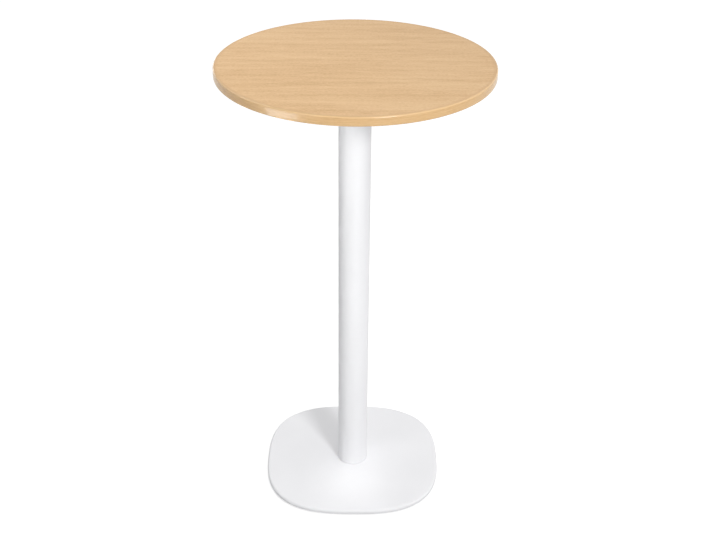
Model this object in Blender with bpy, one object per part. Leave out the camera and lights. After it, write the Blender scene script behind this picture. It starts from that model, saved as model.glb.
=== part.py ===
# Round standing-height cafe table: an edge-banded laminate top on a steel column,
# bolted to a soft-square steel base plate that stands on four levelling feet.
# Units are metres, +Z is up, and the origin is on the floor under the column.

import math

import bmesh
import bpy

# Overall sizes
TABLE_HEIGHT = 1.060
TOP_DIAMETER = 0.600
BASE_WIDTH = 0.426

# Fits between pieces
GLUE_LINE = 0.0002
SEAT_GAP = 0.0003
HOLE_CLEARANCE = 0.0003
BOLT_CLEARANCE = 0.0005

# Laminated top
LAMINATE_THICKNESS = 0.0008
CORE_THICKNESS = 0.018
EDGE_BAND_THICKNESS = 0.003
EDGE_BAND_ROUNDING = 0.0028

# Plate that carries the top
TOP_PLATE_WIDTH = 0.260
TOP_PLATE_THICKNESS = 0.004
TOP_PLATE_CORNER_RADIUS = 0.030
TOP_PLATE_CHAMFER = 0.0006
VENT_HOLE_DIAMETER = 0.020
TOP_SCREW_EDGE_DISTANCE = 0.022

# M6 button-head screws of the top, with their washers and insert nuts
TOP_SCREW_DIAMETER = 0.006
TOP_SCREW_HEAD_OVERHANG = 0.0023
TOP_SCREW_HEAD_HEIGHT = 0.0033
TOP_SCREW_HEAD_FLAT = 0.0030
TOP_SCREW_SOCKET_WIDTH = 0.004
TOP_SCREW_SOCKET_DEPTH = 0.002
WASHER_RIM = 0.004
WASHER_THICKNESS = 0.0012
INSERT_WALL = 0.0022
INSERT_COVER = 0.006
INSERT_FLANGE_RIM = 0.002
INSERT_FLANGE_THICKNESS = 0.0015

# Column
COLUMN_DIAMETER = 0.072
COLUMN_WALL = 0.002
COLUMN_END_CHAMFER = 0.0004
END_DISC_THICKNESS = 0.012

# Base plate, whose outline is a superellipse
BASE_THICKNESS = 0.010
BASE_SQUARENESS = 2.74
BASE_TOP_ROUNDING = 0.005
BASE_BOTTOM_ROUNDING = 0.001

# M8 countersunk bolts that hold the column to the base
BOLT_COUNT = 4
BOLT_WALL_DISTANCE = 0.013
BOLT_DIAMETER = 0.008
BOLT_HEAD_OVERHANG = 0.004
BOLT_HEAD_HEIGHT = 0.0044
BOLT_HEAD_RECESS = 0.0004
BOLT_SOCKET_WIDTH = 0.005
BOLT_SOCKET_DEPTH = 0.003

# Levelling feet: a swivel pad under a stud that screws into a blind tapped hole
FOOT_INSET = 0.038
PAD_DIAMETER = 0.030
PAD_HEIGHT = 0.0045
PAD_RIM_HEIGHT = 0.0028
PAD_SHOULDER_WIDTH = 0.005
PAD_FOOT_CHAMFER = 0.0006
STUD_SPIGOT_DIAMETER = 0.010
STUD_SPIGOT_LENGTH = 0.0027
STUD_HEX_WIDTH = 0.013
STUD_HEX_HEIGHT = 0.0029
STUD_DIAMETER = 0.008
STUD_TIP_CHAMFER = 0.0008
BLIND_HOLE_COVER = 0.0022

# Facets, and how far a cut runs past the face it opens
LARGE_SEGMENTS = 96
COLUMN_SEGMENTS = 64
PAD_SEGMENTS = 30
SMALL_SEGMENTS = 18
ROUNDING_STEPS = 3
CORNER_STEPS = 6
CUT_PAST = 0.002

# Heights that follow from the sizes above
PLATE_UNDERSIDE = PAD_HEIGHT + SEAT_GAP + STUD_HEX_HEIGHT + SEAT_GAP
BASE_TOP = PLATE_UNDERSIDE + BASE_THICKNESS
COLUMN_BOTTOM = BASE_TOP + SEAT_GAP
CORE_OFFSET = LAMINATE_THICKNESS + GLUE_LINE
TOP_THICKNESS = CORE_THICKNESS + 2 * CORE_OFFSET
TOP_UNDERSIDE = TABLE_HEIGHT - TOP_THICKNESS
TOP_PLATE_BOTTOM = TOP_UNDERSIDE - SEAT_GAP - TOP_PLATE_THICKNESS
COLUMN_LENGTH = TOP_PLATE_BOTTOM - SEAT_GAP - COLUMN_BOTTOM

# Places that follow from the sizes above
PANEL_RADIUS = TOP_DIAMETER / 2 - EDGE_BAND_THICKNESS - GLUE_LINE
COLUMN_BORE_RADIUS = COLUMN_DIAMETER / 2 - COLUMN_WALL
TOP_SCREW_OFFSET = TOP_PLATE_WIDTH / 2 - TOP_SCREW_EDGE_DISTANCE
BASE_DIAGONAL = BASE_WIDTH / 2 * 0.5 ** (1 / BASE_SQUARENESS) * math.sqrt(2)
FOOT_OFFSET = (BASE_DIAGONAL - FOOT_INSET) / math.sqrt(2)
QUADRANTS = ((1, 1), (-1, 1), (-1, -1), (1, -1))


# Finishes

def finish(name, colour, roughness, metallic):
    material = bpy.data.materials.new(name)
    material.use_nodes = True
    shader = material.node_tree.nodes["Principled BSDF"]
    shader.inputs["Base Color"].default_value = (*colour, 1.0)
    shader.inputs["Roughness"].default_value = roughness
    shader.inputs["Metallic"].default_value = metallic
    return material


def make_finishes():
    return {
        "oak_laminate": finish("oak_laminate", (0.74, 0.50, 0.28), 0.45, 0.0),
        "oak_edge": finish("oak_edge", (0.67, 0.44, 0.20), 0.35, 0.0),
        "chipboard": finish("chipboard", (0.46, 0.33, 0.20), 0.85, 0.0),
        "backing": finish("backing", (0.80, 0.79, 0.76), 0.55, 0.0),
        "white_powder_coat": finish("white_powder_coat", (0.88, 0.88, 0.88), 0.40, 0.0),
        "bare_steel": finish("bare_steel", (0.42, 0.42, 0.43), 0.45, 1.0),
        "zinc_plate": finish("zinc_plate", (0.62, 0.63, 0.65), 0.30, 1.0),
        "black_nylon": finish("black_nylon", (0.03, 0.03, 0.03), 0.55, 0.0),
    }


# Outlines, as lists of (x, y) points that run anticlockwise

def circle(radius, segments):
    angles = [2 * math.pi * step / segments for step in range(segments)]
    return [(radius * math.cos(angle), radius * math.sin(angle)) for angle in angles]


def soft_square(width, squareness, segments):
    points = []
    for c, s in circle(1, segments):
        x = math.copysign(abs(c) ** (2 / squareness), c)
        y = math.copysign(abs(s) ** (2 / squareness), s)
        points.append((x * width / 2, y * width / 2))
    return points


def rounded_square(width, corner_radius, steps):
    points = []
    centre = width / 2 - corner_radius
    for quarter, (sx, sy) in enumerate(QUADRANTS):
        for step in range(steps + 1):
            angle = (quarter + step / steps) * math.pi / 2
            x = sx * centre + corner_radius * math.cos(angle)
            y = sy * centre + corner_radius * math.sin(angle)
            points.append((x, y))
    return points


def hexagon(width_across_flats, segments=6):
    # More than six points lie along the flats, so that the outline can join a circle.
    points = []
    for c, s in circle(width_across_flats / 2, segments):
        past_flat = math.atan2(s, c) % (math.pi / 3) - math.pi / 6
        points.append((c / math.cos(past_flat), s / math.cos(past_flat)))
    return points


def inset(outline, distance):
    moved = []
    for index, (x, y) in enumerate(outline):
        before = outline[index - 1]
        after = outline[(index + 1) % len(outline)]
        dx, dy = after[0] - before[0], after[1] - before[1]
        length = math.hypot(dx, dy)
        moved.append((x - dy / length * distance, y + dx / length * distance))
    return moved


def quarter_round(radius, steps):
    # (inset, drop) pairs of a rounded edge, from its flat face to its side
    turns = [math.pi / 2 * step / steps for step in range(steps + 1)]
    return [(radius * (1 - math.sin(turn)), radius * (1 - math.cos(turn))) for turn in turns]


# Solids

def stacked(sections, bored=False):
    # Sections are (outline, z) pairs down the outer side from the top, with as many points each.
    # A bored solid closes up through its bore, and any other with a flat face at each end.
    shape = bmesh.new()
    loops = [[shape.verts.new((x, y, z)) for x, y in outline] for outline, z in sections]
    pairs = list(zip(loops, loops[1:]))
    if bored:
        pairs.append((loops[-1], loops[0]))
    else:
        shape.faces.new(loops[0])
        shape.faces.new(reversed(loops[-1]))
    for upper, lower in pairs:
        for index in range(len(upper)):
            shape.faces.new((upper[index - 1], lower[index - 1], lower[index], upper[index]))
    return shape


def turned(profile, segments, bored=False):
    return stacked([(circle(radius, segments), z) for radius, z in profile], bored)


def cylinder(radius, top, bottom, segments):
    return turned([(radius, top), (radius, bottom)], segments)


def solid(name, shape, material, place=(0, 0, 0), parent=None):
    mesh = bpy.data.meshes.new(name)
    shape.to_mesh(mesh)
    shape.free()
    mesh.shade_smooth()
    mesh.set_sharp_from_angle(angle=math.radians(35))
    if material is not None:
        mesh.materials.append(material)
    item = bpy.data.objects.new(name, mesh)
    bpy.context.scene.collection.objects.link(item)
    item.location = place
    item.parent = parent
    return item


def cut(target, name, shape, place=(0, 0, 0), parent=None):
    tool = solid(name, shape, None, place, parent)
    tool.hide_render = True
    tool.display_type = "WIRE"
    modifier = target.modifiers.new(name, "BOOLEAN")
    modifier.operation = "DIFFERENCE"
    modifier.solver = "EXACT"
    modifier.object = tool


# Laminated top

def make_top(finishes):
    def panel(thickness):
        return cylinder(PANEL_RADIUS, thickness, 0, LARGE_SEGMENTS)

    surface_place = (0, 0, TABLE_HEIGHT - LAMINATE_THICKNESS)
    core_place = (0, 0, TOP_UNDERSIDE + CORE_OFFSET)
    underside_place = (0, 0, TOP_UNDERSIDE)
    solid("top_laminate", panel(LAMINATE_THICKNESS), finishes["oak_laminate"], surface_place)
    core = solid("top_core", panel(CORE_THICKNESS), finishes["chipboard"], core_place)
    backing = solid("backing_laminate", panel(LAMINATE_THICKNESS), finishes["backing"], underside_place)
    solid("edge_band", edge_band_shape(), finishes["oak_edge"], underside_place)
    return core, backing


def edge_band_shape():
    outer = TOP_DIAMETER / 2
    inner = outer - EDGE_BAND_THICKNESS
    rounding = quarter_round(min(EDGE_BAND_ROUNDING, EDGE_BAND_THICKNESS - GLUE_LINE), ROUNDING_STEPS)
    profile = [(inner, TOP_THICKNESS)]
    profile += [(outer - side, TOP_THICKNESS - drop) for side, drop in rounding]
    profile += [(outer - side, drop) for side, drop in reversed(rounding)]
    profile += [(inner, 0)]
    return turned(profile, LARGE_SEGMENTS, bored=True)


# Screws, washers and insert nuts of the top

def make_top_fixings(finishes, plate, core, backing):
    zinc = finishes["zinc_plate"]
    clear_radius = TOP_SCREW_DIAMETER / 2 + BOLT_CLEARANCE
    washer_height = TOP_PLATE_BOTTOM - SEAT_GAP
    seat_height = washer_height - WASHER_THICKNESS - SEAT_GAP
    for number, (sx, sy) in enumerate(QUADRANTS, start=1):
        x, y = sx * TOP_SCREW_OFFSET, sy * TOP_SCREW_OFFSET
        insert_place = (x, y, TOP_UNDERSIDE)
        seat_place = (x, y, seat_height)
        cut(core, f"core_pocket_{number}", insert_pocket(), insert_place)
        cut(backing, f"backing_pocket_{number}", insert_pocket(), insert_place)
        through = cylinder(clear_radius, TOP_PLATE_THICKNESS + CUT_PAST, -CUT_PAST, SMALL_SEGMENTS)
        cut(plate, f"top_screw_hole_{number}", through, (x, y, TOP_PLATE_BOTTOM))
        solid(f"insert_nut_{number}", insert_shape(), zinc, insert_place)
        solid(f"top_washer_{number}", washer_shape(), zinc, (x, y, washer_height))
        screw = solid(f"top_screw_{number}", button_screw(TOP_UNDERSIDE - seat_height), zinc, seat_place)
        cut(screw, f"top_screw_socket_{number}", button_socket(), seat_place)


def insert_profile(clearance):
    body = TOP_SCREW_DIAMETER / 2 + INSERT_WALL + clearance
    flange = TOP_SCREW_DIAMETER / 2 + INSERT_WALL + INSERT_FLANGE_RIM + clearance
    top = CORE_OFFSET + CORE_THICKNESS - INSERT_COVER + clearance
    shoulder = INSERT_FLANGE_THICKNESS + clearance
    return [(body, top), (body, shoulder), (flange, shoulder)]


def insert_pocket():
    profile = insert_profile(HOLE_CLEARANCE)
    flange = profile[-1][0]
    return turned(profile + [(flange, -CUT_PAST)], SMALL_SEGMENTS)


def insert_shape():
    profile = insert_profile(0)
    top, flange = profile[0][1], profile[-1][0]
    bore = TOP_SCREW_DIAMETER / 2 + HOLE_CLEARANCE
    return turned(profile + [(flange, 0), (bore, 0), (bore, top)], SMALL_SEGMENTS, bored=True)


def washer_shape():
    hole = TOP_SCREW_DIAMETER / 2 + HOLE_CLEARANCE
    rim = TOP_SCREW_DIAMETER / 2 + WASHER_RIM
    profile = [(hole, 0), (rim, 0), (rim, -WASHER_THICKNESS), (hole, -WASHER_THICKNESS)]
    return turned(profile, SMALL_SEGMENTS, bored=True)


def button_screw(underside):
    # Points up to the end of its insert nut, with the domed head hanging below zero.
    shank = TOP_SCREW_DIAMETER / 2
    dome = shank + TOP_SCREW_HEAD_OVERHANG - TOP_SCREW_HEAD_FLAT
    reach = underside + insert_profile(0)[0][1]
    profile = [(shank, reach), (shank, 0)]
    for step in range(ROUNDING_STEPS + 1):
        turn = math.pi / 2 * step / ROUNDING_STEPS
        radius = TOP_SCREW_HEAD_FLAT + dome * math.cos(turn)
        profile.append((radius, -TOP_SCREW_HEAD_HEIGHT * math.sin(turn)))
    return turned(profile, SMALL_SEGMENTS)


def button_socket():
    outline = hexagon(TOP_SCREW_SOCKET_WIDTH)
    top = TOP_SCREW_SOCKET_DEPTH - TOP_SCREW_HEAD_HEIGHT
    return stacked([(outline, top), (outline, -TOP_SCREW_HEAD_HEIGHT - CUT_PAST)])


# Column with the plate and the disc welded to its ends

def make_top_plate(finishes):
    outline = rounded_square(TOP_PLATE_WIDTH, TOP_PLATE_CORNER_RADIUS, CORNER_STEPS)
    trimmed = inset(outline, TOP_PLATE_CHAMFER)
    sections = [
        (trimmed, TOP_PLATE_THICKNESS),
        (outline, TOP_PLATE_THICKNESS - TOP_PLATE_CHAMFER),
        (outline, TOP_PLATE_CHAMFER),
        (trimmed, 0),
    ]
    place = (0, 0, TOP_PLATE_BOTTOM)
    plate = solid("top_plate", stacked(sections), finishes["white_powder_coat"], place)
    vent = cylinder(VENT_HOLE_DIAMETER / 2, TOP_PLATE_THICKNESS + CUT_PAST, -CUT_PAST, SMALL_SEGMENTS)
    cut(plate, "vent_hole", vent, place)
    return plate


def make_column(finishes):
    outer, bore = COLUMN_DIAMETER / 2, COLUMN_BORE_RADIUS
    chamfer = COLUMN_END_CHAMFER
    profile = [(bore, COLUMN_LENGTH), (outer - chamfer, COLUMN_LENGTH), (outer, COLUMN_LENGTH - chamfer)]
    profile += [(outer, chamfer), (outer - chamfer, 0), (bore, 0)]
    place = (0, 0, COLUMN_BOTTOM)
    solid("column_tube", turned(profile, COLUMN_SEGMENTS, bored=True), finishes["white_powder_coat"], place)
    disc = cylinder(bore - SEAT_GAP, END_DISC_THICKNESS, 0, COLUMN_SEGMENTS)
    return solid("column_end_disc", disc, finishes["bare_steel"], place)


# Base plate and the bolts under it

def make_base_plate(finishes):
    outline = soft_square(BASE_WIDTH, BASE_SQUARENESS, LARGE_SEGMENTS)
    top_edge = quarter_round(BASE_TOP_ROUNDING, ROUNDING_STEPS)
    bottom_edge = quarter_round(BASE_BOTTOM_ROUNDING, ROUNDING_STEPS // 2)
    sections = [(inset(outline, side), BASE_THICKNESS - drop) for side, drop in top_edge]
    sections += [(inset(outline, side), drop) for side, drop in reversed(bottom_edge)]
    return solid("base_plate", stacked(sections), finishes["white_powder_coat"], (0, 0, PLATE_UNDERSIDE))


def make_base_bolts(finishes, base, end_disc):
    circle_radius = COLUMN_BORE_RADIUS - BOLT_WALL_DISTANCE
    tapped_radius = BOLT_DIAMETER / 2 + HOLE_CLEARANCE
    for number, (x, y) in enumerate(circle(circle_radius, BOLT_COUNT), start=1):
        place = (x, y, PLATE_UNDERSIDE)
        cut(base, f"countersink_{number}", countersink(), place)
        tapped = cylinder(tapped_radius, END_DISC_THICKNESS + CUT_PAST, -CUT_PAST, SMALL_SEGMENTS)
        cut(end_disc, f"tapped_hole_{number}", tapped, (x, y, COLUMN_BOTTOM))
        bolt = solid(f"base_bolt_{number}", countersunk_bolt(), finishes["zinc_plate"], place)
        outline = hexagon(BOLT_SOCKET_WIDTH)
        socket = stacked([(outline, BOLT_HEAD_RECESS + BOLT_SOCKET_DEPTH), (outline, -CUT_PAST)])
        cut(bolt, f"base_bolt_socket_{number}", socket, place)


def countersunk_bolt():
    shank = BOLT_DIAMETER / 2
    reach = BASE_THICKNESS + SEAT_GAP + END_DISC_THICKNESS
    profile = [(shank, reach), (shank, BOLT_HEAD_RECESS + BOLT_HEAD_HEIGHT)]
    profile += [(shank + BOLT_HEAD_OVERHANG, BOLT_HEAD_RECESS)]
    return turned(profile, SMALL_SEGMENTS)


def countersink():
    # The cone runs parallel to the bolt's head, down to a short straight mouth.
    hole = BOLT_DIAMETER / 2 + BOLT_CLEARANCE
    mouth = BOLT_DIAMETER / 2 + BOLT_HEAD_OVERHANG + HOLE_CLEARANCE
    cone_height = (mouth - hole) * BOLT_HEAD_HEIGHT / BOLT_HEAD_OVERHANG
    profile = [(hole, BASE_THICKNESS + CUT_PAST), (hole, BOLT_HEAD_RECESS + cone_height)]
    profile += [(mouth, BOLT_HEAD_RECESS), (mouth, -CUT_PAST)]
    return turned(profile, SMALL_SEGMENTS)


# Levelling feet

def make_feet(finishes, base):
    blind_depth = BASE_THICKNESS - BLIND_HOLE_COVER
    for number, (sx, sy) in enumerate(QUADRANTS, start=1):
        axis = bpy.data.objects.new(f"foot_axis_{number}", None)
        bpy.context.scene.collection.objects.link(axis)
        axis.location = (sx * FOOT_OFFSET, sy * FOOT_OFFSET, 0)
        solid(f"foot_pad_{number}", pad_shape(), finishes["black_nylon"], parent=axis)
        solid(f"foot_stud_{number}", stud_shape(), finishes["zinc_plate"], parent=axis)
        hole = cylinder(STUD_DIAMETER / 2 + HOLE_CLEARANCE, blind_depth, -CUT_PAST, SMALL_SEGMENTS)
        cut(base, f"foot_hole_{number}", hole, (0, 0, PLATE_UNDERSIDE), axis)


def pad_shape():
    rim = PAD_DIAMETER / 2
    socket = STUD_SPIGOT_DIAMETER / 2 + HOLE_CLEARANCE
    socket_floor = PAD_HEIGHT - STUD_SPIGOT_LENGTH
    profile = [(socket, socket_floor), (socket, PAD_HEIGHT), (rim - PAD_SHOULDER_WIDTH, PAD_HEIGHT)]
    profile += [(rim, PAD_RIM_HEIGHT), (rim, PAD_FOOT_CHAMFER), (rim - PAD_FOOT_CHAMFER, 0)]
    return turned(profile, PAD_SEGMENTS)


def stud_shape():
    # The shank screws into the base plate, the hexagon takes a spanner and the spigot turns in the pad.
    hex_low = PAD_HEIGHT + SEAT_GAP
    hex_high = hex_low + STUD_HEX_HEIGHT
    tip = PLATE_UNDERSIDE + BASE_THICKNESS - BLIND_HOLE_COVER - HOLE_CLEARANCE
    spigot_low = hex_low - STUD_SPIGOT_LENGTH
    shank = circle(STUD_DIAMETER / 2, SMALL_SEGMENTS)
    spanner_hex = hexagon(STUD_HEX_WIDTH, SMALL_SEGMENTS)
    spigot = circle(STUD_SPIGOT_DIAMETER / 2, SMALL_SEGMENTS)
    sections = [
        (circle(STUD_DIAMETER / 2 - STUD_TIP_CHAMFER, SMALL_SEGMENTS), tip),
        (shank, tip - STUD_TIP_CHAMFER),
        (shank, hex_high),
        (spanner_hex, hex_high),
        (spanner_hex, hex_low),
        (spigot, hex_low),
        (spigot, spigot_low),
    ]
    return stacked(sections)


def main():
    for old in list(bpy.data.objects):
        bpy.data.objects.remove(old)
    finishes = make_finishes()
    core, backing = make_top(finishes)
    top_plate = make_top_plate(finishes)
    make_top_fixings(finishes, top_plate, core, backing)
    end_disc = make_column(finishes)
    base = make_base_plate(finishes)
    make_base_bolts(finishes, base, end_disc)
    make_feet(finishes, base)


main()
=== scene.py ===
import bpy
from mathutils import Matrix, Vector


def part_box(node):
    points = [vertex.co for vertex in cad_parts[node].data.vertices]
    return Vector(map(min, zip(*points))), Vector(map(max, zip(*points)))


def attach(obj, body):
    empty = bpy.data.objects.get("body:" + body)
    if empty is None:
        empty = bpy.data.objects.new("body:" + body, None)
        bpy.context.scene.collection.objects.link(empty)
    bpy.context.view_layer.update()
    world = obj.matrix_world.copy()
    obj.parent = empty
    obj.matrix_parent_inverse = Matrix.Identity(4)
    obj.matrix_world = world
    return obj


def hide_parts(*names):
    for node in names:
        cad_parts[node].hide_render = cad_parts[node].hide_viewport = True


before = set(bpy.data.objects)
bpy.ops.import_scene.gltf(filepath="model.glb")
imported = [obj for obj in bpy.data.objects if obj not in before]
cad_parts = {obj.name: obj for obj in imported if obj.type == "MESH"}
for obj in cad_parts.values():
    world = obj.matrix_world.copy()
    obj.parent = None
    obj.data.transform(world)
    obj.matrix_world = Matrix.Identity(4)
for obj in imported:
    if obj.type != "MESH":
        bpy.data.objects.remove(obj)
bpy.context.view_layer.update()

import math

import bmesh
import bpy
from mathutils import Matrix, Vector

print("frame loaded,", len(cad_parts), "nodes")


# Camera, set to the photo's viewing angle

cameraView = {
    "place": (0.0095, -2.4042, 1.9198),
    "pitchDown": 29.52,  # degrees below the horizon
    "roll": 0.54,  # degrees
    "focalPixels": 1192.7,  # for an image of the width below
    "imageWidth": 716,
    "sensorWidth": 36.0,
}


def makeCamera():
    lens = bpy.data.cameras.new("photoCamera")
    lens.sensor_width = cameraView["sensorWidth"]
    lens.lens = cameraView["focalPixels"] / cameraView["imageWidth"] * cameraView["sensorWidth"]
    camera = bpy.data.objects.new("photoCamera", lens)
    bpy.context.scene.collection.objects.link(camera)
    tilt = Matrix.Rotation(math.radians(90 - cameraView["pitchDown"]), 4, "X")
    roll = Matrix.Rotation(math.radians(cameraView["roll"]), 4, "Z")
    camera.matrix_world = Matrix.Translation(cameraView["place"]) @ tilt @ roll
    bpy.context.scene.camera = camera


makeCamera()
print("camera set")


# Where the solids are

fourNumbers = (1, 2, 3, 4)  # fasteners and feet come in fours


def nodeSpan(node):
    low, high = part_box(node)
    centre = (low + high) / 2
    return {"x": centre.x, "y": centre.y, "radius": (high.x - low.x) / 2, "top": high.z, "bottom": low.z}


# Outlines are lists of (x, y) points that run anticlockwise

def ringOutline(radius, facets):
    angles = [2 * math.pi * step / facets for step in range(facets)]
    return [(radius * math.cos(angle), radius * math.sin(angle)) for angle in angles]


def softSquare(width, squareness, facets):
    points = []
    for c, s in ringOutline(1, facets):
        x = math.copysign(abs(c) ** (2 / squareness), c)
        y = math.copysign(abs(s) ** (2 / squareness), s)
        points.append((x * width / 2, y * width / 2))
    return points


def roundedSquare(width, cornerRadius, steps):
    points = []
    centre = width / 2 - cornerRadius
    for quarter, (sx, sy) in enumerate(((1, 1), (-1, 1), (-1, -1), (1, -1))):
        for step in range(steps + 1):
            angle = (quarter + step / steps) * math.pi / 2
            x = sx * centre + cornerRadius * math.cos(angle)
            y = sy * centre + cornerRadius * math.sin(angle)
            points.append((x, y))
    return points


def hexOutline(acrossFlats, facets, largest=math.inf):
    # its points lie along the flats, and the corners stop at the largest radius
    points = []
    for c, s in ringOutline(1, facets):
        pastFlat = math.atan2(s, c) % (math.pi / 3) - math.pi / 6
        radius = min(acrossFlats / 2 / math.cos(pastFlat), largest)
        points.append((c * radius, s * radius))
    return points


def insetOutline(outline, distance):
    moved = []
    for index, (x, y) in enumerate(outline):
        before = outline[index - 1]
        after = outline[(index + 1) % len(outline)]
        dx, dy = after[0] - before[0], after[1] - before[1]
        length = math.hypot(dx, dy)
        moved.append((x - dy / length * distance, y + dx / length * distance))
    return moved


def quarterRound(radius, steps):
    # (inset, drop) pairs of a rounded edge, from its flat face to its side
    turns = [math.pi / 2 * step / steps for step in range(steps + 1)]
    return [(radius * (1 - math.sin(turn)), radius * (1 - math.cos(turn))) for turn in turns]


def edgeProfile(top, bottom, topRound, bottomRound, steps, support):
    # (inset, z) pairs down a plate's side, with a support ring on each flat face
    profile = [(topRound + support, top)]
    profile += [(side, top - drop) for side, drop in quarterRound(topRound, steps)]
    profile += [(side, bottom + drop) for side, drop in reversed(quarterRound(bottomRound, steps))]
    return profile + [(bottomRound + support, bottom)]


# Meshes: sections are (outline, z) pairs, profiles are (radius, z) pairs

def ringSections(profile, facets):
    return [(ringOutline(radius, facets), z) for radius, z in profile]


def stackSections(sections, bored=False):
    # from the top down the outer side, with as many points in each section
    shape = bmesh.new()
    loops = [[shape.verts.new((x, y, z)) for x, y in outline] for outline, z in sections]
    pairs = list(zip(loops, loops[1:]))
    if bored:
        pairs.append((loops[-1], loops[0]))
    else:
        shape.faces.new(loops[0])
        shape.faces.new(reversed(loops[-1]))
    for upper, lower in pairs:
        for index in range(len(upper)):
            shape.faces.new((upper[index - 1], lower[index - 1], lower[index], upper[index]))
    return shape


def turnProfile(profile, facets, bored=False):
    return stackSections(ringSections(profile, facets), bored)


def sweepProfiles(stations, closed=False):
    # stations are (angle, profile) pairs round the z axis, with as many points each
    shape = bmesh.new()
    loops = []
    for angle, profile in stations:
        loops.append([shape.verts.new((r * math.cos(angle), r * math.sin(angle), z)) for r, z in profile])
    if closed:
        pairs = zip(loops[-1:] + loops[:-1], loops)
    else:
        shape.faces.new(loops[0])
        shape.faces.new(reversed(loops[-1]))
        pairs = zip(loops, loops[1:])
    for before, after in pairs:
        for index in range(len(before)):
            shape.faces.new((before[index - 1], before[index], after[index], after[index - 1]))
    bmesh.ops.recalc_face_normals(shape, faces=shape.faces)
    return shape


def toMesh(name, shape):
    mesh = bpy.data.meshes.new(name)
    shape.to_mesh(mesh)
    shape.free()
    return mesh


def drillAt(x, y, profile, facets):
    drill = turnProfile(profile, facets)
    bmesh.ops.translate(drill, verts=drill.verts, vec=(x, y, 0))
    return drill


def drilled(name, shape, drills):
    # drills are closed shapes, taken out of the shape one after another
    blank = bpy.data.objects.new(name, toMesh(name, shape))
    bits = []
    for drill in drills:
        bit = bpy.data.objects.new("drill", toMesh("drill", drill))
        bits.append(bit)
        cut = blank.modifiers.new("drill", "BOOLEAN")
        cut.operation = "DIFFERENCE"
        cut.solver = "EXACT"
        cut.object = bit
    for item in [blank] + bits:
        bpy.context.scene.collection.objects.link(item)
    evaluated = blank.evaluated_get(bpy.context.evaluated_depsgraph_get())
    mesh = bpy.data.meshes.new_from_object(evaluated)
    mesh.name = name
    for item in [blank] + bits:
        spare = item.data
        bpy.data.objects.remove(item)
        bpy.data.meshes.remove(spare)
    return mesh


# Shader helpers

noiseMiddle = 0.5
noiseRange = (0.35, 0.65)  # most of a noise texture's values lie between these


def tint(red, green, blue):
    # a colour picked on screen, 0 to 255, as Blender's linear colour
    shares = [value / 255 for value in (red, green, blue)]
    return (*[s / 12.92 if s <= 0.04045 else ((s + 0.055) / 1.055) ** 2.4 for s in shares], 1.0)


def feed(tree, source, socket):
    # a socket takes another socket or a plain value
    if isinstance(source, bpy.types.NodeSocket):
        tree.links.new(source, socket)
    else:
        socket.default_value = source


def calc(tree, operation, *values, clamp=False):
    node = tree.nodes.new("ShaderNodeMath")
    node.operation = operation
    node.use_clamp = clamp
    for index, value in enumerate(values):
        feed(tree, value, node.inputs[index])
    return node.outputs[0]


def scaled(tree, vector, factors):
    node = tree.nodes.new("ShaderNodeVectorMath")
    node.operation = "MULTIPLY"
    feed(tree, vector, node.inputs[0])
    feed(tree, factors, node.inputs[1])
    return node.outputs[0]


def joined(tree, x, y, z):
    node = tree.nodes.new("ShaderNodeCombineXYZ")
    for index, value in enumerate((x, y, z)):
        feed(tree, value, node.inputs[index])
    return node.outputs[0]


def parted(tree, vector):
    node = tree.nodes.new("ShaderNodeSeparateXYZ")
    feed(tree, vector, node.inputs[0])
    return node.outputs


def flatRadius(tree, vector):
    # distance from the z axis
    node = tree.nodes.new("ShaderNodeVectorMath")
    node.operation = "LENGTH"
    feed(tree, scaled(tree, vector, (1, 1, 0)), node.inputs[0])
    return node.outputs["Value"]


def noise(tree, vector, scale, detail, roughness):
    node = tree.nodes.new("ShaderNodeTexNoise")
    feed(tree, vector, node.inputs["Vector"])
    feed(tree, scale, node.inputs["Scale"])
    node.inputs["Detail"].default_value = detail
    node.inputs["Roughness"].default_value = roughness
    return node.outputs["Fac"]


def mapRange(tree, value, low, high, newLow=0.0, newHigh=1.0):
    node = tree.nodes.new("ShaderNodeMapRange")
    for index, number in enumerate((value, low, high, newLow, newHigh)):
        feed(tree, number, node.inputs[index])
    return node.outputs[0]


def mixed(tree, amount, first, second):
    node = tree.nodes.new("ShaderNodeMix")
    node.data_type = "RGBA"
    feed(tree, amount, node.inputs["Factor"])
    feed(tree, first, node.inputs[6])  # the colour sockets are 6, 7 and 2
    feed(tree, second, node.inputs[7])
    return node.outputs[2]


def bumpFrom(tree, height, distance):
    node = tree.nodes.new("ShaderNodeBump")
    feed(tree, height, node.inputs["Height"])
    node.inputs["Distance"].default_value = distance
    node.inputs["Strength"].default_value = 1.0
    return node.outputs["Normal"]


def newGroup(name, inputs, outputs):
    group = bpy.data.node_groups.new(name, "ShaderNodeTree")
    for label, kind, value in inputs:
        socket = group.interface.new_socket(name=label, in_out="INPUT", socket_type="NodeSocket" + kind)
        socket.default_value = value
    for label, kind in outputs:
        group.interface.new_socket(name=label, in_out="OUTPUT", socket_type="NodeSocket" + kind)
    return group, group.nodes.new("NodeGroupInput").outputs, group.nodes.new("NodeGroupOutput").inputs


def placeGroup(tree, group, values):
    node = tree.nodes.new("ShaderNodeGroup")
    node.node_tree = group
    for label, value in values.items():
        feed(tree, value, node.inputs[label])
    return node.outputs


# Effects that several finishes share

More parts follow.
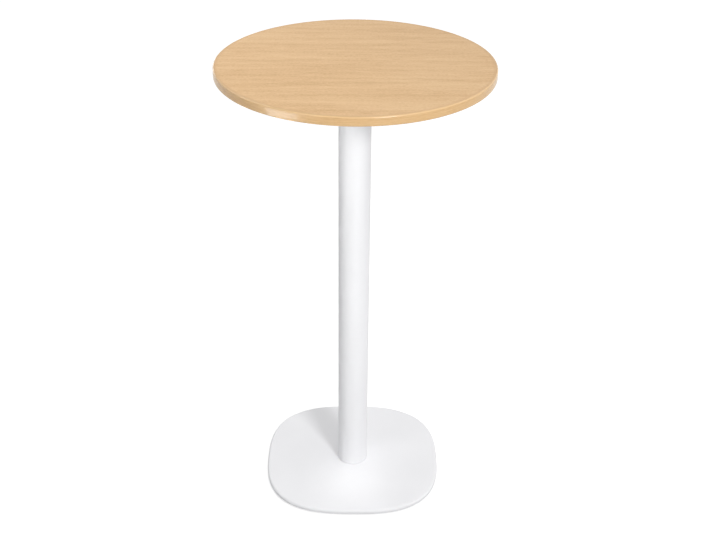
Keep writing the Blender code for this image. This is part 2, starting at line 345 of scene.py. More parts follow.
straightGrain = {
    # noise cells in a streak's length and width, the noise itself, and how far it moves the tone
    "dashes": {"along": 5.0, "across": 1.1, "detail": 2.0, "roughness": 0.5, "gain": 1.5},
    "fine": {"along": 0.8, "across": 1.0, "detail": 3.0, "roughness": 0.6, "gain": 1.7},
    "broad": {"along": 0.12, "across": 0.14, "detail": 2.0, "roughness": 0.5, "gain": 1.4},
    "board": {"along": 0.05, "across": 0.03, "detail": 1.0, "roughness": 0.5, "gain": 1.3},
    "pores": {"along": 5.0, "across": 6.0, "detail": 2.0, "roughness": 0.5},
    "swayScale": 1.5,
    "sway": 0.004,  # metres that a streak wanders sideways
    "poreFrom": 0.60,  # noise level at which a pore opens
    "poreTo": 0.70,
    "poreShade": 0.35,
    "streakRelief": 0.3,  # against a pore's depth
    "faceRoughness": 0.42,
    "poreRoughness": 0.55,
}


def makeGrainGroup():
    # x runs along the grain, y across, and all sizes are in metres
    group, given, out = newGroup("straightGrain", [
        ("Vector", "Vector", (0, 0, 0)),
        ("Streak Width", "Float", 0.003),
        ("Streak Length", "Float", 0.04),
        ("Streak Contrast", "Float", 1.0),
        ("Board Contrast", "Float", 1.0),
        ("Pale", "Color", (1, 1, 1, 1)),
        ("Middle", "Color", (1, 1, 1, 1)),
        ("Dark", "Color", (1, 1, 1, 1)),
    ], [("Colour", "Color"), ("Height", "Float"), ("Roughness", "Float")])
    x, y, z = parted(group, given["Vector"])
    wander = noise(group, given["Vector"], straightGrain["swayScale"], detail=1.0, roughness=0.5)
    sway = calc(group, "MULTIPLY", wander, straightGrain["sway"])
    across = calc(group, "DIVIDE", calc(group, "ADD", y, sway), given["Streak Width"])
    along = calc(group, "DIVIDE", x, given["Streak Length"])

    def streaks(layer):
        longWay = calc(group, "MULTIPLY", along, layer["along"])
        crossWay = calc(group, "MULTIPLY", across, layer["across"])
        return noise(group, joined(group, longWay, crossWay, z), 1.0, layer["detail"], layer["roughness"])

    def toneOf(label):
        layer = straightGrain[label]
        centred = calc(group, "SUBTRACT", streaks(layer), noiseMiddle)
        return calc(group, "MULTIPLY", centred, layer["gain"])

    # tone 0 is dark, 0.5 middle and 1 pale
    fine = calc(group, "ADD", toneOf("fine"), toneOf("dashes"))
    streaky = calc(group, "ADD", fine, toneOf("broad"))
    tone = calc(group, "MULTIPLY_ADD", streaky, given["Streak Contrast"], 0.5)
    tone = calc(group, "MULTIPLY_ADD", toneOf("board"), given["Board Contrast"], tone)
    darkToMiddle = calc(group, "MULTIPLY", tone, 2.0, clamp=True)
    middleToPale = calc(group, "MULTIPLY_ADD", tone, 2.0, -1.0, clamp=True)
    colour = mixed(group, darkToMiddle, given["Dark"], given["Middle"])
    colour = mixed(group, middleToPale, colour, given["Pale"])

    # short open pores, a few tenths of a millimetre wide
    pores = streaks(straightGrain["pores"])
    pores = mapRange(group, pores, straightGrain["poreFrom"], straightGrain["poreTo"])
    poreShare = calc(group, "MULTIPLY", pores, straightGrain["poreShade"])
    feed(group, mixed(group, poreShare, colour, given["Dark"]), out["Colour"])
    relief = calc(group, "MULTIPLY", fine, straightGrain["streakRelief"])
    feed(group, calc(group, "SUBTRACT", relief, pores), out["Height"])
    roughness = mapRange(group, pores, 0.0, 1.0,
                         straightGrain["faceRoughness"], straightGrain["poreRoughness"])
    feed(group, roughness, out["Roughness"])
    return group


colourDrift = {
    "detail": 4.0,
    "roughness": 0.55,
}


def makeDriftGroup():
    # slow drift of colour over a large face
    group, given, out = newGroup("colourDrift", [
        ("Vector", "Vector", (0, 0, 0)),
        ("Patch Size", "Float", 0.08),
        ("First", "Color", (1, 1, 1, 1)),
        ("Second", "Color", (1, 1, 1, 1)),
    ], [("Colour", "Color")])
    perPatch = calc(group, "DIVIDE", 1.0, given["Patch Size"])
    patches = noise(group, given["Vector"], perPatch, colourDrift["detail"], colourDrift["roughness"])
    drift = mapRange(group, patches, *noiseRange)
    feed(group, mixed(group, drift, given["First"], given["Second"]), out["Colour"])
    return group


orangePeel = {
    "specksPerLump": 4.5,
    "speckHeight": 0.25,  # against a lump's
    "patchesPerLump": 0.03,  # larger patches of more and less gloss
}


def makePeelGroup():
    # soft lumps of sprayed powder, moulded plastic or pressed melamine
    group, given, out = newGroup("orangePeel", [
        ("Vector", "Vector", (0, 0, 0)),
        ("Size", "Float", 0.002),
        ("Roughness Low", "Float", 0.3),
        ("Roughness High", "Float", 0.4),
    ], [("Height", "Float"), ("Roughness", "Float")])
    perLump = calc(group, "DIVIDE", 1.0, given["Size"])
    perSpeck = calc(group, "MULTIPLY", perLump, orangePeel["specksPerLump"])
    perPatch = calc(group, "MULTIPLY", perLump, orangePeel["patchesPerLump"])
    lumps = noise(group, given["Vector"], perLump, detail=1.0, roughness=0.4)
    specks = noise(group, given["Vector"], perSpeck, detail=1.0, roughness=0.5)
    feed(group, calc(group, "MULTIPLY_ADD", specks, orangePeel["speckHeight"], lumps), out["Height"])
    patches = noise(group, given["Vector"], perPatch, detail=3.0, roughness=0.6)
    roughness = mapRange(group, patches, *noiseRange, given["Roughness Low"], given["Roughness High"])
    feed(group, roughness, out["Roughness"])
    return group


latheLines = {
    "stainsPerMetre": 300.0,
    "stainShare": 0.5,  # of the roughness, and the lines have the rest
}


def makeLatheGroup():
    # fine tool lines round the z axis, broken up by stains
    group, given, out = newGroup("latheLines", [
        ("Vector", "Vector", (0, 0, 0)),
        ("Size", "Float", 0.0002),
        ("Roughness Low", "Float", 0.25),
        ("Roughness High", "Float", 0.4),
    ], [("Height", "Float"), ("Roughness", "Float")])
    z = parted(group, given["Vector"])[2]
    radius = flatRadius(group, given["Vector"])
    along = calc(group, "DIVIDE", calc(group, "ADD", radius, z), given["Size"])
    lines = noise(group, joined(group, along, 0.0, 0.0), 1.0, detail=2.0, roughness=0.6)
    feed(group, lines, out["Height"])
    stains = noise(group, given["Vector"], latheLines["stainsPerMetre"], detail=3.0, roughness=0.6)
    stains = calc(group, "MULTIPLY", stains, latheLines["stainShare"])
    blend = calc(group, "MULTIPLY_ADD", lines, 1 - latheLines["stainShare"], stains)
    roughness = mapRange(group, blend, *noiseRange, given["Roughness Low"], given["Roughness High"])
    feed(group, roughness, out["Roughness"])
    return group


grainGroup = makeGrainGroup()
driftGroup = makeDriftGroup()
peelGroup = makePeelGroup()
latheGroup = makeLatheGroup()
print("shared effects built")


# Finishes, each with the values that go straight to its shader

def newFinish(name, shaderValues):
    material = bpy.data.materials.new(name)
    material.use_nodes = True
    tree = material.node_tree
    shader = tree.nodes["Principled BSDF"].inputs
    for label, value in shaderValues.items():
        shader[label].default_value = value
    where = tree.nodes.new("ShaderNodeTexCoord").outputs["Object"]
    return material, tree, shader, where


def placeGrain(tree, shader, vector, settings):
    grain = placeGroup(tree, grainGroup, {
        "Vector": vector,
        "Streak Width": settings["streakWidth"],
        "Streak Length": settings["streakLength"],
        "Streak Contrast": settings["streakContrast"],
        "Board Contrast": settings["boardContrast"],
        "Pale": settings["pale"],
        "Middle": settings["middle"],
        "Dark": settings["dark"],
    })
    feed(tree, grain["Roughness"], shader["Roughness"])
    feed(tree, bumpFrom(tree, grain["Height"], settings["poreDepth"]), shader["Normal"])
    return grain["Colour"]


oakLaminate = {
    "shader": {"Specular IOR Level": 0.2},
    "pale": tint(233, 197, 150),
    "middle": tint(224, 185, 137),
    "dark": tint(208, 167, 117),
    "streakWidth": 0.003,
    "streakLength": 0.03,
    "streakContrast": 0.84,
    "boardContrast": 0.5,
    "poreDepth": 0.00005,
    "edgeShade": tint(212, 173, 127),  # a ring a little darker towards the outer edge
    "edgeStrength": 0.7,
    "edgeFrom": 0.2895,  # radii over which it comes in
    "edgeTo": 0.2950,
}


def makeOakLaminate():
    material, tree, shader, where = newFinish("oakLaminate", oakLaminate["shader"])
    grain = placeGrain(tree, shader, where, oakLaminate)
    # the top turns a little darker in a ring towards its outer edge
    darkerRing = mapRange(tree, flatRadius(tree, where), oakLaminate["edgeFrom"], oakLaminate["edgeTo"],
                       0.0, oakLaminate["edgeStrength"])
    feed(tree, mixed(tree, darkerRing, grain, oakLaminate["edgeShade"]), shader["Base Color"])
    return material


oakEdge = {
    "shader": {"Specular IOR Level": 0.2, "Coat Weight": 0.5, "Coat Roughness": 0.16},
    "pale": tint(220, 185, 137),
    "middle": tint(211, 173, 123),
    "dark": tint(195, 154, 104),
    "streakWidth": 0.0025,
    "streakLength": 0.06,
    "streakContrast": 0.6,
    "boardContrast": 0.3,
    "poreDepth": 0.00003,
    "scraped": tint(232, 197, 148),  # rounding after the scraper, paler than the face, partly a painted highlight along it
    "scrapedAndHighlightStrength": 0.55,
    "scrapedAndHighlightFrom": 0.0030,  # metres below the top over which it comes in
    "scrapedTo": 0.0016,
}


def makeOakEdge():
    material, tree, shader, where = newFinish("oakEdge", oakEdge["shader"])
    span = nodeSpan("edge_band")
    x, y, z = parted(tree, where)
    # the printed strip runs round the rim, and its ends meet at the back
    turn = calc(tree, "ARCTAN2", x, calc(tree, "MULTIPLY", y, -1.0))
    around = joined(tree, calc(tree, "MULTIPLY", turn, span["radius"]), z, 0.0)
    grain = placeGrain(tree, shader, around, oakEdge)
    # the pale band over the upper rounding is partly scraper whitening and partly a painted highlight
    scraped = mapRange(tree, z, span["top"] - oakEdge["scrapedAndHighlightFrom"], span["top"] - oakEdge["scrapedTo"],
                       0.0, oakEdge["scrapedAndHighlightStrength"])
    feed(tree, mixed(tree, scraped, grain, oakEdge["scraped"]), shader["Base Color"])
    return material


def makeSkinned(name, settings, skinGroup):
    # colour drifts slowly under a skin of lumps or tool lines
    material, tree, shader, where = newFinish(name, settings["shader"])
    drift = placeGroup(tree, driftGroup, {
        "Vector": where,
        "Patch Size": settings["patchSize"],
        "First": settings["first"],
        "Second": settings["second"],
    })
    skin = placeGroup(tree, skinGroup, {
        "Vector": where,
        "Size": settings["skinSize"],
        "Roughness Low": settings["roughness"][0],
        "Roughness High": settings["roughness"][1],
    })
    feed(tree, drift["Colour"], shader["Base Color"])
    feed(tree, skin["Roughness"], shader["Roughness"])
    feed(tree, bumpFrom(tree, skin["Height"], settings["skinDepth"]), shader["Normal"])
    return material


whitePowder = {
    "shader": {"Specular IOR Level": 0.12},
    "first": tint(238, 238, 240),
    "second": tint(236, 236, 238),
    "patchSize": 0.12,
    "skinSize": 0.0022,
    "skinDepth": 0.00003,
    "roughness": (0.47, 0.53),
}

backingSheet = {
    "shader": {"IOR": 1.5},
    "first": tint(226, 224, 219),
    "second": tint(220, 218, 212),
    "patchSize": 0.06,
    "skinSize": 0.0012,
    "skinDepth": 0.00004,
    "roughness": (0.48, 0.58),
}

blackNylon = {
    "shader": {"IOR": 1.53},
    "first": tint(42, 42, 43),
    "second": tint(50, 50, 51),
    "patchSize": 0.01,
    "skinSize": 0.0006,
    "skinDepth": 0.00005,
    "roughness": (0.48, 0.6),
}

zincPlate = {
    "shader": {"Metallic": 1.0},
    "first": tint(205, 208, 212),
    "second": tint(190, 194, 200),
    "patchSize": 0.004,
    "skinSize": 0.00025,
    "skinDepth": 0.00001,
    "roughness": (0.22, 0.4),
}

bareSteel = {
    "shader": {"Metallic": 1.0},
    "first": tint(165, 166, 168),
    "second": tint(142, 142, 144),
    "patchSize": 0.012,
    "skinSize": 0.0004,
    "skinDepth": 0.00002,
    "roughness": (0.35, 0.55),
}

chipboard = {
    "shader": {"Roughness": 0.85},
    "pale": tint(206, 176, 132),
    "dark": tint(132, 98, 62),
    "chipSize": 0.0035,
    "chipStretch": (1.0, 1.0, 2.5),  # chips lie flat in the board
    "chipDepth": 0.0003,
}


def makeChipboard():
    material, tree, shader, where = newFinish("chipboard", chipboard["shader"])
    chips = tree.nodes.new("ShaderNodeTexVoronoi")
    feed(tree, scaled(tree, where, chipboard["chipStretch"]), chips.inputs["Vector"])
    chips.inputs["Scale"].default_value = 1 / chipboard["chipSize"]
    shade = parted(tree, chips.outputs["Color"])[0]
    feed(tree, mixed(tree, shade, chipboard["dark"], chipboard["pale"]), shader["Base Color"])
    feed(tree, bumpFrom(tree, chips.outputs["Distance"], chipboard["chipDepth"]), shader["Normal"])
    return material


finishes = {
    "oak_laminate": makeOakLaminate(),
    "oak_edge": makeOakEdge(),
    "white_powder_coat": makeSkinned("whitePowder", whitePowder, peelGroup),
    "backing": makeSkinned("backingSheet", backingSheet, peelGroup),
    "black_nylon": makeSkinned("blackNylon", blackNylon, peelGroup),
    "zinc_plate": makeSkinned("zincPlate", zincPlate, latheGroup),
    "bare_steel": makeSkinned("bareSteel", bareSteel, latheGroup),
    "chipboard": makeChipboard(),
}
print("finishes built:", ", ".join(finishes))


# Pieces ride a body, stand in for a node and wear the finish of their slot

pieceShading = {
    "sharpAngle": 32,  # degrees, and an edge that turns further stays crisp
}


def addPiece(name, mesh, slot, body, node=None, place=(0, 0, 0)):
    mesh.shade_smooth()
    mesh.set_sharp_from_angle(angle=math.radians(pieceShading["sharpAngle"]))
    mesh.materials.clear()
    mesh.materials.append(finishes[slot])
    piece = bpy.data.objects.new(name, mesh)
    bpy.context.scene.collection.objects.link(piece)
    piece.location = place
    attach(piece, body)
    if node:
        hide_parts(node)


def addFour(name, mesh, slot, node, mover=None):
    # one mesh at all four nodes, on the table or each on its own mover
    for number in fourNumbers:
        span = nodeSpan(f"{node}_{number}")
        place = (span["x"], span["y"], span["bottom"])
        body = f"{mover}_{number}" if mover else "table"
        addPiece(f"{name}_{number}", mesh, slot, body, f"{node}_{number}", place)


# Tabletop

tableTop = {
    "facets": 288,
    "sheetEase": 0.00015,  # the laminate's arris, broken by hand
    "sheetSteps": 3,
    "sheetSupport": 0.003,
    "bandRound": 0.0028,
    "bandSteps": 10,
    "bandJoint": 0.00012,  # hairline where the strip's ends meet, at the back
    "glueLine": 0.0002,
}


def makeTopSheet():
    span = nodeSpan("top_laminate")
    ease = tableTop["sheetEase"]
    sides = edgeProfile(span["top"], span["bottom"], ease, ease,
                        tableTop["sheetSteps"], tableTop["sheetSupport"])
    shape = turnProfile([(span["radius"] - side, z) for side, z in sides], tableTop["facets"])
    addPiece("topSheet", toMesh("topSheet", shape), "oak_laminate", "table", "top_laminate")


def makeEdgeBand():
    span = nodeSpan("edge_band")
    thickness = span["radius"] - nodeSpan("top_laminate")["radius"] - tableTop["glueLine"]
    rounding = quarterRound(tableTop["bandRound"], tableTop["bandSteps"])
    sides = [(thickness, span["top"])]
    sides += [(side, span["top"] - drop) for side, drop in rounding]
    sides += [(side, span["bottom"] + drop) for side, drop in reversed(rounding)]
    sides += [(thickness, span["bottom"])]
    profile = [(span["radius"] - side, z) for side, z in sides]
    # once round, from one side of the joint to the other
    halfJoint = tableTop["bandJoint"] / span["radius"] / 2
    start = math.pi / 2 + halfJoint
    sweep = 2 * (math.pi - halfJoint)
    steps = tableTop["facets"]
    stations = [(start + sweep * step / steps, profile) for step in range(steps + 1)]
    addPiece("edgeBand", toMesh("edgeBand", sweepProfiles(stations)), "oak_edge", "table", "edge_band")


makeTopSheet()
makeEdgeBand()
print("tabletop built")


# Column, the plate under the top and the weld between them

column = {
    "facets": 192,
    "wall": 0.002,
    "endRound": 0.0006,
    "endSteps": 4,
    "endSupport": 0.0003,
}


def makeColumn():
    span = nodeSpan("column_tube")
    bore = span["radius"] - column["wall"]
    sides = edgeProfile(span["top"], span["bottom"], column["endRound"], column["endRound"],
                        column["endSteps"], column["endSupport"])
    profile = [(bore, span["top"])]
    profile += [(span["radius"] - side, z) for side, z in sides]
    profile += [(bore, span["bottom"])]
    mesh = toMesh("columnTube", turnProfile(profile, column["facets"], bored=True))
    addPiece("columnTube", mesh, "white_powder_coat", "table", "column_tube")


topPlate = {
    "cornerRadius": 0.030,
    "cornerSteps": 16,
    "edgeRound": 0.0008,
    "edgeSteps": 4,
    "support": 0.002,
    "ventRadius": 0.010,
    "screwHoleRadius": 0.0035,
    "holeFacets": 48,
    "holePast": 0.002,  # how far the drills reach past the plate
}


def makeTopPlate():
    span = nodeSpan("top_plate")
    outline = roundedSquare(2 * span["radius"], topPlate["cornerRadius"], topPlate["cornerSteps"])
    edge = topPlate["edgeRound"]
    sides = edgeProfile(span["top"], span["bottom"], edge, edge, topPlate["edgeSteps"], topPlate["support"])
    blank = stackSections([(insetOutline(outline, side), z) for side, z in sides])
    ends = (span["top"] + topPlate["holePast"], span["bottom"] - topPlate["holePast"])
    vent = [(topPlate["ventRadius"], z) for z in ends]
    screwHole = [(topPlate["screwHoleRadius"], z) for z in ends]
    drills = [drillAt(0, 0, vent, topPlate["holeFacets"])]
    for number in fourNumbers:
        screw = nodeSpan(f"top_screw_{number}")
        drills.append(drillAt(screw["x"], screw["y"], screwHole, topPlate["holeFacets"]))
    addPiece("topPlate", drilled("topPlate", blank, drills), "white_powder_coat", "table", "top_plate")


columnWeld = {
    "leg": 0.0042,
    "bulge": 0.0005,
    "clear": 0.00005,
    "ripples": 78,
    "stepsPerRipple": 6,
    "rippleShare": 0.07,
    "rippleMiddle": 0.6,  # level about which the ripples swell and shrink
    "arcSteps": 7,
}


def makeColumnWeld():
    wall = nodeSpan("column_tube")["radius"] + columnWeld["clear"]
    corner = nodeSpan("top_plate")["bottom"] - columnWeld["clear"]
    perRipple, arc = columnWeld["stepsPerRipple"], columnWeld["arcSteps"]
    steps = columnWeld["ripples"] * perRipple
    stations = []
    for step in range(steps):
        phase = (step % perRipple) / perRipple
        swell = 1 + columnWeld["rippleShare"] * (math.sqrt(1 - phase) - columnWeld["rippleMiddle"])
        leg = columnWeld["leg"] * swell
        profile = [(wall, corner)]
        for index in range(arc + 1):
            share = index / arc
            out = columnWeld["bulge"] * swell * math.sin(math.pi * share) / math.sqrt(2)
            profile.append((wall + leg * share + out, corner - leg * (1 - share) - out))
        stations.append((2 * math.pi * step / steps, profile))
    mesh = toMesh("columnWeld", sweepProfiles(stations, closed=True))
    addPiece("columnWeld", mesh, "white_powder_coat", "table")


makeColumn()
makeTopPlate()
makeColumnWeld()
print("column built")


# Base plate

basePlate = {
    "squareness": 2.74,
    "facets": 360,
    "topRound": 0.005,
    "bottomRound": 0.001,
    "roundSteps": 8,
    "support": 0.004,
    "boltHole": 0.0045,
    "countersinkMouth": 0.0083,
    "countersinkLip": 0.0004,
    "countersinkSlope": 1.1,  # depth for each metre of width
    "footHole": 0.0043,
    "footHoleCover": 0.0022,
    "holeFacets": 48,
    "holePast": 0.002,
}


def makeBasePlate():
    span = nodeSpan("base_plate")
    top, bottom = span["top"], span["bottom"]
    outline = softSquare(2 * span["radius"], basePlate["squareness"], basePlate["facets"])
    sides = edgeProfile(top, bottom, basePlate["topRound"], basePlate["bottomRound"],
                        basePlate["roundSteps"], basePlate["support"])
    blank = stackSections([(insetOutline(outline, side), z) for side, z in sides])
    hole, mouth = basePlate["boltHole"], basePlate["countersinkMouth"]
    past = basePlate["holePast"]
    lip = bottom + basePlate["countersinkLip"]
    throat = lip + (mouth - hole) * basePlate["countersinkSlope"]
    sink = [(hole, top + past), (hole, throat), (mouth, lip), (mouth, bottom - past)]
    blind = [(basePlate["footHole"], z) for z in (top - basePlate["footHoleCover"], bottom - past)]
    drills = []
    for number in fourNumbers:
        bolt = nodeSpan(f"base_bolt_{number}")
        stud = nodeSpan(f"foot_stud_{number}")
        drills.append(drillAt(bolt["x"], bolt["y"], sink, basePlate["holeFacets"]))
        drills.append(drillAt(stud["x"], stud["y"], blind, basePlate["holeFacets"]))
    addPiece("basePlate", drilled("basePlate", blank, drills), "white_powder_coat", "table", "base_plate")


makeBasePlate()
print("base plate built")


# Screws, washers and bolts, each made standing on z = 0

fasteners = {
    "facets": 48,
    "threadStepsPerTurn": 7,
    "threadDepthShare": 0.61,  # of the pitch
    "threadSlope": 1.15,  # steeper sides leave a wider floor in the groove
    "threadCrest": 0.1,  # more leaves a wider flat along the ridge
}


def threadSections(radius, pitch, top, bottom, tipChamfer):
    # a helical groove, read ring by ring from the tip down
    facets = fasteners["facets"]
    depth = pitch * fasteners["threadDepthShare"]
    rings = math.ceil((top - bottom) / pitch * fasteners["threadStepsPerTurn"])
    sections = []
    for ring in range(rings + 1):
        z = top - (top - bottom) * ring / rings
        limit = radius - max(0.0, tipChamfer - (top - z))
        runOut = min(1.0, (z - bottom) / pitch)
        outline = []
        for step in range(facets):
            turn = step / facets
            saw = (z / pitch - turn) % 1.0
            ridge = abs(2 * saw - 1)
            cut = fasteners["threadSlope"] * (1 - ridge) - fasteners["threadCrest"]
            groove = depth * min(1.0, max(0.0, cut)) * runOut
            reach = min(radius - groove, limit)
            outline.append((reach * math.cos(2 * math.pi * turn), reach * math.sin(2 * math.pi * turn)))
        sections.append((outline, z))
    return sections


topScrew = {
    "diameter": 0.006,
    "pitch": 0.001,
    "tipChamfer": 0.0007,
    "neck": 0.0002,  # plain shank between thread and head
    "headRadius": 0.0053,
    "headHeight": 0.0033,
    "headFlat": 0.0030,
    "headRim": 0.0004,
    "domeSteps": 8,
    "socket": 0.004,
    "socketDepth": 0.002,
}


def makeTopScrews():
    # domed heads hang under the top plate, with a hexagon socket
    facets = fasteners["facets"]
    span = nodeSpan("top_screw_1")
    length = span["top"] - span["bottom"]
    shank = topScrew["diameter"] / 2
    seat = topScrew["headHeight"]
    neck = seat + topScrew["neck"]
    sections = threadSections(shank, topScrew["pitch"], length, neck, topScrew["tipChamfer"])
    head = [(shank, seat), (topScrew["headRadius"], seat)]
    dome = topScrew["headRadius"] - topScrew["headFlat"]
    height = seat - topScrew["headRim"]
    for step in range(topScrew["domeSteps"] + 1):
        turn = math.pi / 2 * step / topScrew["domeSteps"]
        head.append((topScrew["headFlat"] + dome * math.cos(turn), height * (1 - math.sin(turn))))
    sections += ringSections(head, facets)
    socket = hexOutline(topScrew["socket"], facets)
    sections += [(socket, 0), (socket, topScrew["socketDepth"])]
    addFour("topScrew", toMesh("topScrew", stackSections(sections)), "zinc_plate", "top_screw")


topWasher = {
    "hole": 0.0033,
    "edgeRound": 0.0002,
    "edgeSteps": 3,
    "support": 0.0002,
}


def makeTopWashers():
    span = nodeSpan("top_washer_1")
    height = span["top"] - span["bottom"]
    edge = topWasher["edgeRound"]
    sides = edgeProfile(height, 0, edge, edge, topWasher["edgeSteps"], topWasher["support"])
    profile = [(topWasher["hole"], height)]
    profile += [(span["radius"] - side, z) for side, z in sides]
    profile += [(topWasher["hole"], 0)]
    mesh = toMesh("topWasher", turnProfile(profile, fasteners["facets"], bored=True))
    addFour("topWasher", mesh, "zinc_plate", "top_washer")


baseBolt = {
    "diameter": 0.008,
    "pitch": 0.00125,
    "tipChamfer": 0.0009,
    "neck": 0.0004,
    "headHeight": 0.0044,
    "headLand": 0.0003,
    "headTaper": 0.0001,
    "socket": 0.005,
    "socketDepth": 0.003,
    "socketChamfer": 0.0003,
}


def makeBaseBolts():
    # countersunk heads sit just inside the plate's underside
    facets = fasteners["facets"]
    span = nodeSpan("base_bolt_1")
    length = span["top"] - span["bottom"]
    shank = baseBolt["diameter"] / 2
    head = baseBolt["headHeight"]
    neck = head + baseBolt["neck"]
    rim = span["radius"]
    sections = threadSections(shank, baseBolt["pitch"], length, neck, baseBolt["tipChamfer"])
    cone = [(shank, head), (rim, baseBolt["headLand"]), (rim - baseBolt["headTaper"], 0)]
    sections += ringSections(cone, facets)
    mouth = hexOutline(baseBolt["socket"] + 2 * baseBolt["socketChamfer"], facets)
    socket = hexOutline(baseBolt["socket"], facets)
    sections += [(mouth, 0), (socket, baseBolt["socketChamfer"]), (socket, baseBolt["socketDepth"])]
    addFour("baseBolt", toMesh("baseBolt", stackSections(sections)), "zinc_plate", "base_bolt")


makeTopScrews()
makeTopWashers()
makeBaseBolts()
print("fasteners built")


# Levelling feet: the pad goes up and down, the stud turns in it

footPad = {
    "facets": 72,
    "rimHeight": 0.0028,
    "shoulder": 0.005,  # width of the slope between the flat top and the rim
    "shoulderSteps": 8,
    "edgeRound": 0.0006,
    "edgeSteps": 4,
    "recess": 0.0004,
    "contactWidth": 0.0045,
    "socketRadius": 0.0053,
    "socketDepth": 0.0027,
    "socketChamfer": 0.0003,
}


def makeFootPads():
    span = nodeSpan("foot_pad_1")
    rim, height = span["radius"], span["top"] - span["bottom"]
    rimHeight, recess = footPad["rimHeight"], footPad["recess"]
    socket, chamfer = footPad["socketRadius"], footPad["socketChamfer"]
    profile = [(socket, height - footPad["socketDepth"])]
    profile += [(socket, height - chamfer), (socket + chamfer, height)]
    # the shoulder falls to the rim in a soft S
    shoulder = rim - footPad["shoulder"]
    flat = rim - footPad["edgeRound"]
    steps = footPad["shoulderSteps"]
    for step in range(steps + 1):
        share = step / steps
        fall = (1 - math.cos(math.pi * share)) / 2
        profile.append((shoulder + (flat - shoulder) * share, height - (height - rimHeight) * fall))
    edge = quarterRound(footPad["edgeRound"], footPad["edgeSteps"])
    profile += [(rim - side, rimHeight - drop) for side, drop in edge[1:]]
    profile += [(rim - side, drop) for side, drop in reversed(edge)]
    contact = flat - footPad["contactWidth"]
    profile += [(contact, 0), (contact - recess, recess)]
    mesh = toMesh("footPad", turnProfile(profile, footPad["facets"]))
    addFour("footPad", mesh, "black_nylon", "foot_pad", "pad")


footStud = {
    "diameter": 0.008,
    "pitch": 0.00125,
    "tipChamfer": 0.0008,
    "hexWidth": 0.013,
    "hexHeight": 0.0029,
    "hexChamfer": 0.0006,
    "spigotRadius": 0.005,
    "spigotLength": 0.0027,
    "spigotChamfer": 0.0003,
}


def makeFootStuds():
    facets = fasteners["facets"]
    span = nodeSpan("foot_stud_1")
    length = span["top"] - span["bottom"]
    shank = footStud["diameter"] / 2
    hexLow = footStud["spigotLength"]
    hexHigh = hexLow + footStud["hexHeight"]
    sections = threadSections(shank, footStud["pitch"], length, hexHigh, footStud["tipChamfer"])
    # corners of the spanner hexagon are turned off at both ends
    across, bevel = footStud["hexWidth"], footStud["hexChamfer"]
    full = hexOutline(across, facets, across / math.sqrt(3))
    turned = hexOutline(across, facets, across / 2)
    sections += [(turned, hexHigh), (full, hexHigh - bevel), (full, hexLow + bevel), (turned, hexLow)]
    spigot, chamfer = footStud["spigotRadius"], footStud["spigotChamfer"]
    sections += ringSections([(spigot, hexLow), (spigot, chamfer), (spigot - chamfer, 0)], facets)
    addFour("footStud", toMesh("footStud", stackSections(sections)), "zinc_plate", "foot_stud", "stud")


makeFootPads()
makeFootStuds()
print("feet built")


# Inner pieces keep their solids and take the finer finishes

keptNodes = {
    "top_core": "chipboard",
    "backing_laminate": "backing",
    "column_end_disc": "bare_steel",
    "insert_nut_1": "zinc_plate",
    "insert_nut_2": "zinc_plate",
    "insert_nut_3": "zinc_plate",
    "insert_nut_4": "zinc_plate",
}


def dressKeptNodes():
    for node, slot in keptNodes.items():
        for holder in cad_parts[node].material_slots:
            holder.material = finishes[slot]


dressKeptNodes()
print("inner pieces dressed")


# Floor and world

studio = {
    "floorSize": 40.0,
    "floorDrop": 0.0002,  # hair of room under the pads
    "floorBounce": 0.465,  # how much light the floor throws back at the table
    "floorGlow": 0.74,  # the floor as the camera sees it, before its own shading
    "floorShade": 0.5,
    "skyLight": 1.3,
    "skyFrom": (0.55, 0.26, 0.8),  # side on which the sky is brightest
    "skyFocus": 4.0,  # how fast the sky fades away from that side
}


def seenDirectly(tree):
    # 1 for what the camera sees, straight on, in gloss or through glass
    path = tree.nodes.new("ShaderNodeLightPath").outputs
    seen = calc(tree, "MAXIMUM", path["Is Camera Ray"], path["Is Glossy Ray"])
    return calc(tree, "MAXIMUM", seen, path["Is Transmission Ray"])


def matte(tree, level):
    node = tree.nodes.new("ShaderNodeBsdfDiffuse")
    node.inputs["Color"].default_value = (level, level, level, 1)
    return node.outputs[0]


def combined(tree, kind, *sources):
    node = tree.nodes.new(kind)
    for index, source in enumerate(sources):
        tree.links.new(source, node.inputs[index])
    return node.outputs[0]


def makeFloorFinish():
    material = bpy.data.materials.new("paleFloor")
    material.use_nodes = True
    tree = material.node_tree
    tree.nodes.remove(tree.nodes["Principled BSDF"])
    glow = tree.nodes.new("ShaderNodeEmission")
    glow.inputs["Strength"].default_value = studio["floorGlow"]
    bounce = matte(tree, studio["floorBounce"])
    lit = combined(tree, "ShaderNodeAddShader", matte(tree, studio["floorShade"]), glow.outputs[0])
    fromAbove = combined(tree, "ShaderNodeMixShader", seenDirectly(tree), bounce, lit)
    # the floor is clear from below, so the underside can be looked at
    below = tree.nodes.new("ShaderNodeNewGeometry").outputs["Backfacing"]
    clear = tree.nodes.new("ShaderNodeBsdfTransparent").outputs[0]
    surface = combined(tree, "ShaderNodeMixShader", below, fromAbove, clear)
    tree.links.new(surface, tree.nodes["Material Output"].inputs["Surface"])
    return material


def makeFloor():
    half = studio["floorSize"] / 2
    level = -studio["floorDrop"]
    corners = ((-half, -half), (half, -half), (half, half), (-half, half))
    shape = bmesh.new()
    shape.faces.new([shape.verts.new((x, y, level)) for x, y in corners])
    floor = bpy.data.objects.new("floor", toMesh("floor", shape))
    bpy.context.scene.collection.objects.link(floor)
    floor.data.materials.append(makeFloorFinish())


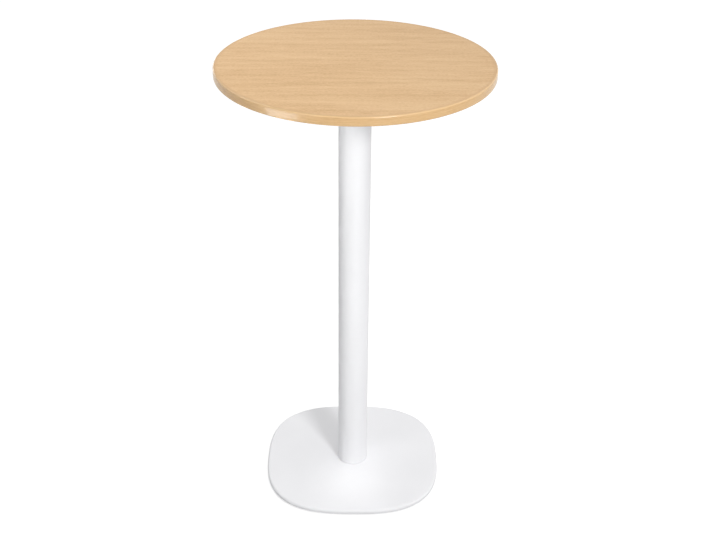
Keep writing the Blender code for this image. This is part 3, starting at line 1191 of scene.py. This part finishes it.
def makeWorld():
    world = bpy.data.worlds.new("paleStudio")
    world.use_nodes = True
    tree = world.node_tree
    sky = tree.nodes["Background"].inputs
    sky["Color"].default_value = (1, 1, 1, 1)
    seen = seenDirectly(tree)
    # light rays meet a sky that fades from its bright side to its dark one
    side = tree.nodes.new("ShaderNodeVectorMath")
    side.operation = "DOT_PRODUCT"
    feed(tree, tree.nodes.new("ShaderNodeTexCoord").outputs["Generated"], side.inputs[0])
    feed(tree, Vector(studio["skyFrom"]).normalized(), side.inputs[1])
    bright = calc(tree, "MULTIPLY_ADD", side.outputs["Value"], 0.5, 0.5)  # from -1 to 1, to 0 to 1
    light = calc(tree, "MULTIPLY", calc(tree, "POWER", bright, studio["skyFocus"]), studio["skyLight"])
    unseen = calc(tree, "SUBTRACT", 1.0, seen)
    feed(tree, calc(tree, "MULTIPLY_ADD", light, unseen, seen), sky["Strength"])
    bpy.context.scene.world = world


makeFloor()
makeWorld()
print("floor and world built")


# Softboxes, with their sizes in metres and their spreads in degrees

softboxes = {
    "keyLight": {
        "place": (1.255, -2.57, 2.17),
        "aim": (0, 0, 0.6),
        "size": (0.7, 0.7),
        "spread": 180,
        "watts": 58.5,
    },
    "fillLight": {
        "place": (-1.355, -1.734, 1.0),
        "aim": (0, 0, 0.6),
        "size": (0.9, 1.4),
        "spread": 180,
        "watts": 3.2,
    },
    "topLight": {
        "place": (-0.8, 0.3, 1.9),
        "aim": (0, 0, 1.06),
        "size": (0.5, 0.5),
        "spread": 180,
        "watts": 3.1,
    },
    "backLight": {
        "place": (-1.0, 1.4, 1.2),
        "aim": (0, 0, 0.1),
        "size": (0.5, 0.5),
        "spread": 90,
        "watts": 1.1,
    },
    "highColumnLight": {
        "place": (0.5, -1.5, 0.8),
        "aim": (0, 0, 0.98),
        "size": (0.3, 0.3),
        "spread": 30,
        "watts": 0.024,
    },
    "lowColumnLight": {
        "place": (0.3, -1.6, 0.35),
        "aim": (0, 0, 0.4),
        "size": (0.25, 0.25),
        "spread": 30,
        "watts": 0.118,
    },
    "leftColumnLight": {
        "place": (-1.0, -1.6, 1.3),
        "aim": (0, 0, 0.85),
        "size": (0.3, 0.3),
        "spread": 20,
        "watts": 0.085,
    },
    "glintLight": {
        "place": (-1.34, -0.96, 0.49),
        "aim": (-0.14, -0.265, 1.05),
        "size": (0.75, 0.22),
        "spread": 180,
        "watts": 5.4,
    },
    "baseLight": {
        "place": (0.01, -0.85, 2.4),
        "aim": (0.004, -0.07, 0),
        "size": (0.04, 0.08),
        "spread": 6,  # a narrow grid
        "watts": 0.0105,
    },
}


def makeSoftbox(name, settings):
    lamp = bpy.data.lights.new(name, "AREA")
    lamp.shape = "RECTANGLE"
    lamp.size, lamp.size_y = settings["size"]
    lamp.spread = math.radians(settings["spread"])
    lamp.energy = settings["watts"]
    softbox = bpy.data.objects.new(name, lamp)
    bpy.context.scene.collection.objects.link(softbox)
    softbox.location = settings["place"]
    facing = Vector(settings["aim"]) - Vector(settings["place"])
    softbox.rotation_euler = facing.to_track_quat("-Z", "Y").to_euler()
    softbox.visible_camera = False


for softboxName, softboxSettings in softboxes.items():
    makeSoftbox(softboxName, softboxSettings)
bpy.context.scene.view_settings.view_transform = "Standard"
print("studio lit")
